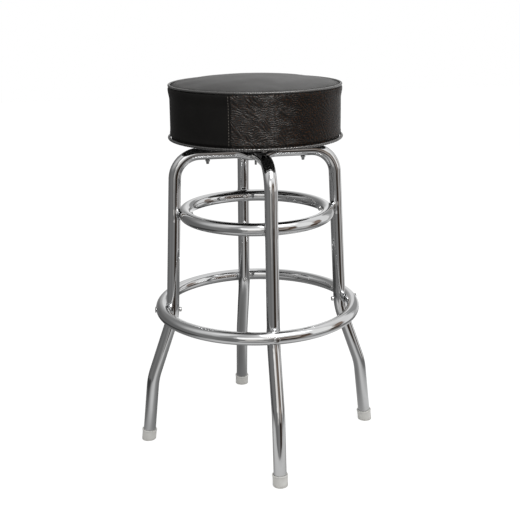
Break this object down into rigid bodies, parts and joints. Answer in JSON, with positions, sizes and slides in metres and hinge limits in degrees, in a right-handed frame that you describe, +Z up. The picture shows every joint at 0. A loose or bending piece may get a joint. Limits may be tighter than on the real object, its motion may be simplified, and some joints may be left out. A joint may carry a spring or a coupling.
{
  "type": "swivel counter stool",
  "caption": "Round drum-cushion counter stool that swivels on crossed bent-tube chrome legs, with a brace ring inside the legs and a foot ring outside them.",
  "frame": {"origin": "on the floor, under the swivel's axis, midway between the four foot caps", "axes": "+Z up along the swivel's axis; -Y towards the front leg, which stands nearest the camera in the picture; +X towards the right leg"},
  "size_m": [0.5042, 0.5042, 0.762],
  "materials": {
    "chrome_tube": "polished",
    "chrome_hardware": "polished",
    "foot_cap_plastic": "satin",
    "zinc_hardware": "satin",
    "black_steel": "satin",
    "bearing_steel": "polished",
    "plywood": "matte",
    "foam": "matte",
    "black_vinyl": "satin",
    "dust_cloth": "matte"
  },
  "bodies": {
    "base": {"leg_frame_left_right": "chrome_tube", "leg_frame_front_back": "chrome_tube", "upper_ring": "chrome_tube", "foot_ring": "chrome_tube", "foot_ring_bolt_right": "chrome_hardware", "foot_ring_bolt_back": "chrome_hardware", "foot_ring_bolt_left": "chrome_hardware", "foot_ring_bolt_front": "chrome_hardware", "foot_ring_sleeve_nut_right": "chrome_hardware", "foot_ring_sleeve_nut_back": "chrome_hardware", "foot_ring_sleeve_nut_left": "chrome_hardware", "foot_ring_sleeve_nut_front": "chrome_hardware", "upper_ring_bolt_right": "chrome_hardware", "upper_ring_bolt_back": "chrome_hardware", "upper_ring_bolt_left": "chrome_hardware", "upper_ring_bolt_front": "chrome_hardware", "foot_cap_right": "foot_cap_plastic", "foot_cap_back": "foot_cap_plastic", "foot_cap_left": "foot_cap_plastic", "foot_cap_front": "foot_cap_plastic", "crossing_bolt": "zinc_hardware", "upper_ring_weld_nut_right": "zinc_hardware", "upper_ring_weld_nut_back": "zinc_hardware", "upper_ring_weld_nut_left": "zinc_hardware", "upper_ring_weld_nut_front": "zinc_hardware", "swivel_bolt_right": "zinc_hardware", "swivel_bolt_back": "zinc_hardware", "swivel_bolt_left": "zinc_hardware", "swivel_bolt_front": "zinc_hardware", "swivel_nut_right": "zinc_hardware", "swivel_nut_back": "zinc_hardware", "swivel_nut_left": "zinc_hardware", "swivel_nut_front": "zinc_hardware", "swivel_bottom_plate": "black_steel", "swivel_rivet": "bearing_steel"},
    "ball_race": {"swivel_ball_cage": "bearing_steel", "swivel_ball_1": "bearing_steel", "swivel_ball_2": "bearing_steel", "swivel_ball_3": "bearing_steel", "swivel_ball_4": "bearing_steel", "swivel_ball_5": "bearing_steel", "swivel_ball_6": "bearing_steel", "swivel_ball_7": "bearing_steel", "swivel_ball_8": "bearing_steel", "swivel_ball_9": "bearing_steel", "swivel_ball_10": "bearing_steel", "swivel_ball_11": "bearing_steel", "swivel_ball_12": "bearing_steel"},
    "seat": {"seat_screw_right": "zinc_hardware", "seat_screw_back": "zinc_hardware", "seat_screw_left": "zinc_hardware", "seat_screw_front": "zinc_hardware", "swivel_top_plate": "black_steel", "seat_board": "plywood", "foam_pad": "foam", "seat_top_panel": "black_vinyl", "seat_band": "black_vinyl", "top_welt": "black_vinyl", "bottom_welt": "black_vinyl", "dust_cover": "dust_cloth"}
  },
  "joints": [
    {"name": "seat_swivel", "type": "hinge", "parent": "base", "child": "seat", "pos_m": [0, 0, 0.6317], "axis": [0, 0, 1], "continuous": true},
    {"name": "ball_race_roll", "type": "hinge", "parent": "base", "child": "ball_race", "pos_m": [0, 0, 0.6317], "axis": [0, 0, 1], "continuous": true}
  ],
  "couplings": [
    {"joint": "ball_race_roll", "follows": "seat_swivel", "ratio": 0.5}
  ]
}
